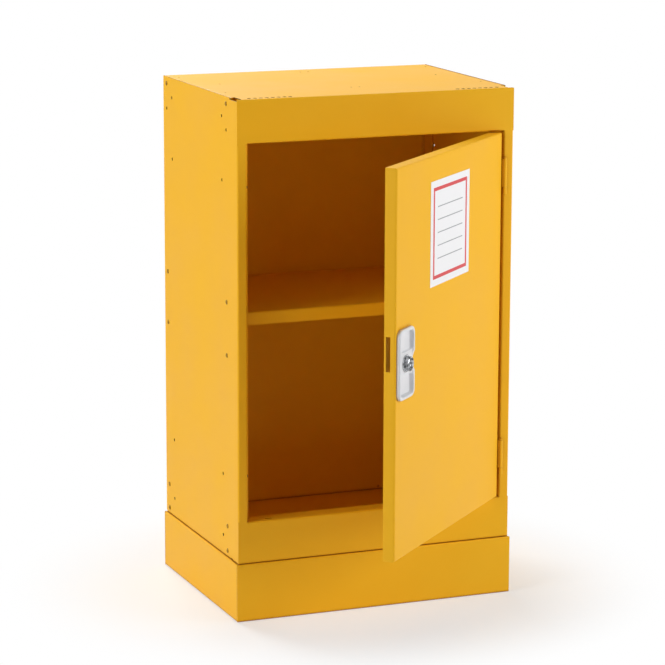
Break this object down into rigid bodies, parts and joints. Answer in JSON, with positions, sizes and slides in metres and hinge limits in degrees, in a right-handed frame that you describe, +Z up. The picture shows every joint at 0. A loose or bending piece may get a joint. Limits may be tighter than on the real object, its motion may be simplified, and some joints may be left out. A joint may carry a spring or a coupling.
{
  "type": "storage cabinet",
  "caption": "Floor-standing folded-steel storage cabinet on a plinth, with a hinged door, a recessed handle with key cam lock, a lift-out shelf and a pan floor.",
  "frame": {"origin": "middle of the width, on the plane of the body's front, at floor level on the plinth's bottom flange", "axes": "+X towards the hinge side (right, seen from the front), +Y to the back, +Z up"},
  "size_m": [0.405, 0.5613, 0.71],
  "materials": {
    "yellow_powder_coat": "smooth semi-gloss powder coat",
    "grey_plastic": "fine-grained moulded plastic",
    "bright_chrome": "polished",
    "zinc": "bright zinc plating",
    "black_rubber": "matte",
    "white_vinyl": "satin vinyl film"
  },
  "bodies": {
    "carcass": {"side_panel_left": "yellow_powder_coat", "side_panel_right": "yellow_powder_coat", "top_panel": "yellow_powder_coat", "back_panel": "yellow_powder_coat", "sump_pan": "yellow_powder_coat", "front_header": "yellow_powder_coat", "front_sill": "yellow_powder_coat", "plinth_front": "yellow_powder_coat", "plinth_rear": "yellow_powder_coat", "plinth_side_left": "yellow_powder_coat", "plinth_side_right": "yellow_powder_coat", "plinth_bolts": "zinc", "shelf_bracket_front_left": "yellow_powder_coat", "shelf_bracket_front_right": "yellow_powder_coat", "shelf_bracket_rear_left": "yellow_powder_coat", "shelf_bracket_rear_right": "yellow_powder_coat", "shelf_clips": "zinc", "carcass_rivets_left": "zinc", "carcass_rivets_right": "zinc", "hinge_leaf_frame_upper": "yellow_powder_coat", "hinge_leaf_frame_lower": "yellow_powder_coat", "hinge_pin_upper": "yellow_powder_coat", "hinge_pin_lower": "yellow_powder_coat", "door_buffers": "black_rubber"},
    "door": {"door_panel": "yellow_powder_coat", "door_stiffener": "yellow_powder_coat", "hinge_leaf_door_upper": "yellow_powder_coat", "hinge_leaf_door_lower": "yellow_powder_coat", "handle_plate": "grey_plastic", "lock_barrel": "bright_chrome", "lock_nut": "zinc", "label_blank": "white_vinyl"},
    "lock": {"lock_plug": "bright_chrome", "lock_cam": "zinc", "cam_screw": "zinc"},
    "shelf": {"shelf": "yellow_powder_coat"}
  },
  "joints": [
    {"name": "door_swing", "type": "hinge", "parent": "carcass", "child": "door", "pos_m": [0.1863, -0.0029, 0], "axis": [0, 0, 1], "range_deg": [-44, 126]},
    {"name": "lock_turn", "type": "hinge", "parent": "door", "child": "lock", "pos_m": [-0.06195, -0.2386, 0.396], "axis": [0.6947, -0.7193, 0], "range_deg": [0, 90]},
    {"name": "shelf_lift", "type": "slide", "parent": "carcass", "child": "shelf", "axis": [0, 0, 1], "range_m": [0, 0.02]}
  ]
}
